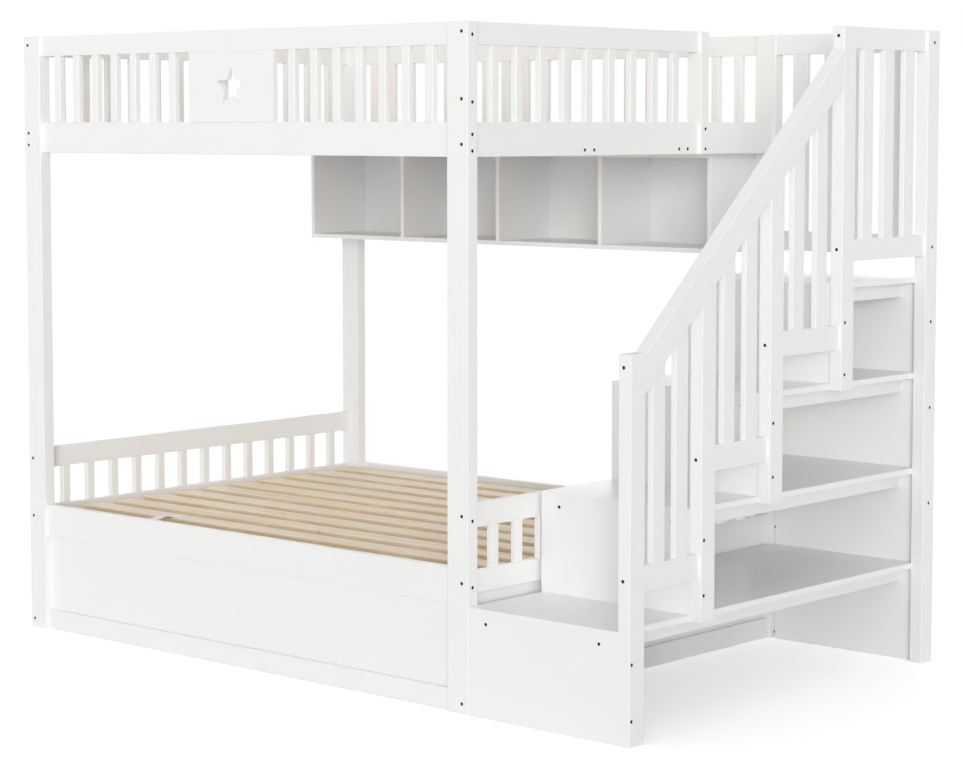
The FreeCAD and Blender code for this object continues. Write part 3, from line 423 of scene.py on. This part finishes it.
def slat_row_tree():
    """A row of slats with eased long edges, each with its own wood, laid a little unevenly."""
    tree, size = new_tree("slat_row", {
        "Count": "Int", "Length": "Float", "Width": "Float", "Thickness": "Float",
        "Easing": "Float", "Start": "Vector", "Pitch": "Vector", "Turn": "Vector",
        "Drift": "Float", "Seed": "Int"})
    section = add_node(tree, "GeometryNodeCurvePrimitiveQuadrilateral", {
        "Width": size["Thickness"], "Height": size["Width"]})
    eased = add_node(tree, "GeometryNodeFilletCurve", {
        "Curve": section.outputs["Curve"], "Radius": size["Easing"], "Count": SLAT_EASING_PARTS},
        mode="POLY")
    face = add_node(tree, "GeometryNodeFillCurve", {"Curve": eased.outputs["Curve"]}, mode="NGONS")
    upwards = add_node(tree, "ShaderNodeCombineXYZ", {"Z": 1.0})
    prism = add_node(tree, "GeometryNodeExtrudeMesh", {
        "Mesh": face.outputs["Mesh"], "Offset": upwards.outputs["Vector"],
        "Offset Scale": size["Length"], "Individual": False})
    closing = add_node(tree, "GeometryNodeFlipFaces", {"Mesh": face.outputs["Mesh"]})
    both = add_node(tree, "GeometryNodeJoinGeometry")
    for part in (prism, closing):
        tree.links.new(part.outputs["Mesh"], both.inputs["Geometry"])
    closed = add_node(tree, "GeometryNodeMergeByDistance", {
        "Geometry": both.outputs["Geometry"], "Distance": WELD})
    # the section's Z becomes the slat's length, its X the thickness and its Y the width
    laid = add_node(tree, "GeometryNodeTransform", {
        "Geometry": closed.outputs["Geometry"], "Rotation": (0.0, math.radians(90), 0.0)})
    place = add_node(tree, "GeometryNodeInputPosition")
    wood = add_node(tree, "GeometryNodeStoreNamedAttribute", {
        "Geometry": laid.outputs["Geometry"], "Name": "wood_place",
        "Value": place.outputs["Position"]}, data_type="FLOAT_VECTOR", domain="POINT")
    row = add_node(tree, "GeometryNodeMeshLine", {
        "Count": size["Count"], "Start Location": size["Start"], "Offset": size["Pitch"]},
        mode="OFFSET")
    slats = add_node(tree, "GeometryNodeInstanceOnPoints", {
        "Points": row.outputs["Mesh"], "Instance": wood.outputs["Geometry"],
        "Rotation": size["Turn"]})
    drift = add_node(tree, "FunctionNodeRandomValue", {
        2: -1.0, 3: 1.0, "Seed": size["Seed"]}, data_type="FLOAT")
    along = add_node(tree, "ShaderNodeMath", {
        0: drift.outputs[1], 1: size["Drift"]}, operation="MULTIPLY")
    slide = add_node(tree, "ShaderNodeCombineXYZ", {"X": along.outputs[0]})
    shifted = add_node(tree, "GeometryNodeTranslateInstances", {
        "Instances": slats.outputs["Instances"], "Translation": slide.outputs["Vector"],
        "Local Space": True})
    tone = add_node(tree, "FunctionNodeRandomValue", {
        2: 0.0, 3: TONE_RANGE, "Seed": TONE_SEED}, data_type="FLOAT")
    toned = add_node(tree, "GeometryNodeStoreNamedAttribute", {
        "Geometry": shifted.outputs["Instances"], "Name": "wood_tone", "Value": tone.outputs[1]},
        data_type="FLOAT", domain="INSTANCE")
    # each slat is cut from another place of the log, so no two show the same rings
    from_log = add_node(tree, "FunctionNodeRandomValue", {
        0: (0.0, 0.0, 0.0), 1: LOG_SIZE, "Seed": LOG_SEED}, data_type="FLOAT_VECTOR")
    cut = add_node(tree, "GeometryNodeStoreNamedAttribute", {
        "Geometry": toned.outputs["Geometry"], "Name": "wood_from", "Value": from_log.outputs[0]},
        data_type="FLOAT_VECTOR", domain="INSTANCE")
    real = add_node(tree, "GeometryNodeRealizeInstances", {"Geometry": cut.outputs["Geometry"]})
    at, start = [
        add_node(tree, "GeometryNodeInputNamedAttribute", {"Name": name}, data_type="FLOAT_VECTOR")
        for name in ("wood_place", "wood_from")]
    moved = add_node(tree, "ShaderNodeVectorMath", {
        0: at.outputs["Attribute"], 1: start.outputs["Attribute"]}, operation="ADD")
    own_wood = add_node(tree, "GeometryNodeStoreNamedAttribute", {
        "Geometry": real.outputs["Geometry"], "Name": "wood_place",
        "Value": moved.outputs["Vector"]}, data_type="FLOAT_VECTOR", domain="POINT")
    end_tree(tree, own_wood.outputs["Geometry"], BARE_PINE)
    return tree


def lay_slats(name, node, count, width, along_y, seed):
    """The slats of one bed, in the box that the frame gives them."""
    low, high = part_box(node)
    size = high - low
    lengthwise, across = (1, 0) if along_y else (0, 1)
    start = (low + high) / 2
    start[across] = low[across] + width / 2
    start[lengthwise] = low[lengthwise]
    pitch = Vector((0.0, 0.0, 0.0))
    pitch[across] = (size[across] - width) / (count - 1)
    piece = grow(name, SLAT_ROW, {
        "Count": count, "Length": size[lengthwise], "Width": width, "Thickness": size.z,
        "Easing": SLAT_EASING, "Start": start, "Pitch": pitch,
        "Turn": (0.0, 0.0, math.radians(90) if along_y else 0.0),
        "Drift": SLAT_DRIFT, "Seed": seed})
    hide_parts(node)
    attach(piece, "root")


def tape_tree():
    """A flat woven tape along a path, with soft edges and its weave laid out in real length."""
    tree, size = new_tree("tape_along_path", {"Width": "Float", "Thickness": "Float"})
    path = add_node(tree, "GeometryNodeMeshToCurve", {"Mesh": size["Geometry"]})
    upright = add_node(tree, "GeometryNodeSetCurveNormal", {
        "Curve": path.outputs["Curve"]}, mode="MINIMUM_TWIST")
    length = add_node(tree, "GeometryNodeSplineParameter")
    measured = add_node(tree, "GeometryNodeStoreNamedAttribute", {
        "Geometry": upright.outputs["Curve"], "Name": "along", "Value": length.outputs["Length"]},
        data_type="FLOAT", domain="POINT")
    section = add_node(tree, "GeometryNodeCurvePrimitiveQuadrilateral", {
        "Width": size["Width"], "Height": size["Thickness"]})
    edge = add_node(tree, "ShaderNodeMath", {
        0: size["Thickness"], 1: TAPE_EDGE}, operation="MULTIPLY")
    soft = add_node(tree, "GeometryNodeFilletCurve", {
        "Curve": section.outputs["Curve"], "Radius": edge.outputs[0], "Count": 2}, mode="POLY")
    place = add_node(tree, "GeometryNodeInputPosition")
    marked = add_node(tree, "GeometryNodeStoreNamedAttribute", {
        "Geometry": soft.outputs["Curve"], "Name": "across", "Value": place.outputs["Position"]},
        data_type="FLOAT_VECTOR", domain="POINT")
    tape = add_node(tree, "GeometryNodeCurveToMesh", {
        "Curve": measured.outputs["Geometry"], "Profile Curve": marked.outputs["Geometry"],
        "Fill Caps": True})
    along = add_node(tree, "GeometryNodeInputNamedAttribute", {"Name": "along"}, data_type="FLOAT")
    across = add_node(tree, "GeometryNodeInputNamedAttribute", {
        "Name": "across"}, data_type="FLOAT_VECTOR")
    parts = add_node(tree, "ShaderNodeSeparateXYZ", {"Vector": across.outputs["Attribute"]})
    weave = add_node(tree, "ShaderNodeCombineXYZ", {
        "X": along.outputs["Attribute"], "Y": parts.outputs["X"], "Z": parts.outputs["Y"]})
    woven = add_node(tree, "GeometryNodeStoreNamedAttribute", {
        "Geometry": tape.outputs["Mesh"], "Name": "weave_place", "Value": weave.outputs["Vector"]},
        data_type="FLOAT_VECTOR", domain="POINT")
    end_tree(tree, woven.outputs["Geometry"], WEBBING)
    return tree


def lay_tape(name, points):
    """A tape whose middle line follows these points."""
    path = bpy.data.meshes.new(name + "_path")
    path.from_pydata(points, [(index, index + 1) for index in range(len(points) - 1)], [])
    return grow(name, TAPE, {"Width": TAPE_WIDTH, "Thickness": TAPE_THICK}, path)


def tape_paths():
    """The middle line of each tape, and the middle of the hole in the left one.

    Both run under the slats. The left one's end is turned up round the first slat and
    laid back over the gap behind it.
    """
    low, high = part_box("webbing_tapes")
    slats_low, slats_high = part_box("lower_slats")
    left, right = low.x + TAPE_WIDTH / 2, high.x - TAPE_WIDTH / 2
    front, rear = slats_low.y, high.y
    before = front - TAPE_THICK / 2
    under, over = low.z + TAPE_THICK / 2, slats_high.z + TAPE_THICK / 2
    turned_up = [
        (rear, under), (front + TAPE_BEND, under), (before, under + TAPE_BEND),
        (before, over - TAPE_BEND), (front + TAPE_BEND, over),
    ]
    laid_back = [(front + back * MM, over + rise * MM) for back, rise in TAPE_HUMP]
    tip = [(front + TAPE_END, over)]
    return {
        "left": [(left, y, z) for y, z in turned_up + laid_back + tip],
        "right": [(right, rear, under), (right, front, under)],
        "hole": (left, front + TAPE_END - TAPE_WIDTH / 2, over),
    }


def punch(piece, at, across):
    """Cuts a round hole down through a piece."""
    bpy.ops.mesh.primitive_cylinder_add(
        vertices=HOLE_SIDES, radius=across / 2, depth=PUNCH_DEPTH, location=at)
    cutter = bpy.context.object
    modifier = piece.modifiers.new("punch", "BOOLEAN")
    modifier.operation = "DIFFERENCE"
    modifier.object = cutter
    punched = settled_mesh(piece)
    piece.modifiers.clear()
    piece.data = punched
    bpy.data.objects.remove(cutter)


SLAT_ROW = slat_row_tree()
for name, of_this_bed in SLATS.items():
    lay_slats(name, *of_this_bed)

TAPE = tape_tree()
paths = tape_paths()
right_tape = lay_tape("webbing_tape_right", paths["right"])
left_tape = lay_tape("webbing_tape_left", paths["left"])
punch(left_tape, paths["hole"], TAPE_HOLE)
for piece in (right_tape, left_tape):
    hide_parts("webbing_tapes")
    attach(piece, "root")


# ---- Studio

def seen_directly(tree):
    """1 for what the camera sees, straight on or by gloss or through glass, and else 0."""
    rays = add_node(tree, "ShaderNodeLightPath").outputs
    seen = rays["Is Camera Ray"]
    for ray in ("Is Glossy Ray", "Is Transmission Ray"):
        either = add_node(tree, "ShaderNodeMath", {0: seen, 1: rays[ray]}, operation="MAXIMUM")
        seen = either.outputs[0]
    return seen


def pale_floor():
    """A matt white floor that the camera, and gloss, see as white outside the shadow."""
    material, tree = new_material("matt_white_floor")
    glow = add_node(tree, "ShaderNodeMath", {
        0: seen_directly(tree), 1: FLOOR_GLOW}, operation="MULTIPLY")
    finish_material(tree, {
        "Base Color": linear(FLOOR_WHITE), "Roughness": 0.9, "Specular IOR Level": 0.0,
        "Emission Color": linear(WHITE), "Emission Strength": glow.outputs[0]})
    return material


def lay_floor():
    """The studio's floor, just under the object."""
    half = FLOOR_SIZE / 2
    corners = [(x * half, y * half, -FLOOR_DROP) for x, y in ((-1, -1), (1, -1), (1, 1), (-1, 1))]
    mesh = bpy.data.meshes.new("studio_floor")
    mesh.from_pydata(corners, [], [(0, 1, 2, 3)])
    mesh.materials.append(pale_floor())
    link_object("studio_floor", mesh)


def even_light():
    """The world: even studio light, which the camera sees as plain white."""
    world = bpy.data.worlds.new("studio")
    world.use_nodes = True
    tree = world.node_tree
    tree.nodes.clear()
    seen = seen_directly(tree)
    strength = add_node(tree, "ShaderNodeMapRange", {
        "Value": seen, "To Min": AMBIENT, "To Max": 1.0})
    hue = add_node(tree, "ShaderNodeMix", {
        "Factor": seen, "A": linear(AMBIENT_COLOUR), "B": linear(WHITE)}, data_type="RGBA")
    sky = add_node(tree, "ShaderNodeBackground", {
        "Color": hue.outputs["Result"], "Strength": strength.outputs["Result"]})
    add_node(tree, "ShaderNodeOutputWorld", {"Surface": sky.outputs["Background"]})
    return world


lay_floor()
bpy.context.scene.world = even_light()

for name, (strength, colour, from_point, spread) in LAMPS.items():
    lamp = bpy.data.lights.new(name, "SUN")
    lamp.energy = strength
    lamp.color = linear(colour)[:3]
    lamp.angle = math.radians(spread)
    holder = link_object(name, lamp)
    holder.location = from_point
    holder.rotation_euler = Vector(from_point).to_track_quat("Z", "Y").to_euler()

bpy.context.scene.view_settings.view_transform = "Standard"

lens = bpy.data.cameras.new("camera")
lens.lens = CAMERA_LENS
lens.sensor_width = CAMERA_SENSOR
lens.shift_y = CAMERA_SHIFT
lens.clip_end = CAMERA_REACH
camera = link_object("camera", lens)
camera.location = CAMERA_AT
camera.rotation_euler = (math.radians(90 + CAMERA_TILT), 0.0, math.radians(CAMERA_TURN))
bpy.context.scene.camera = camera
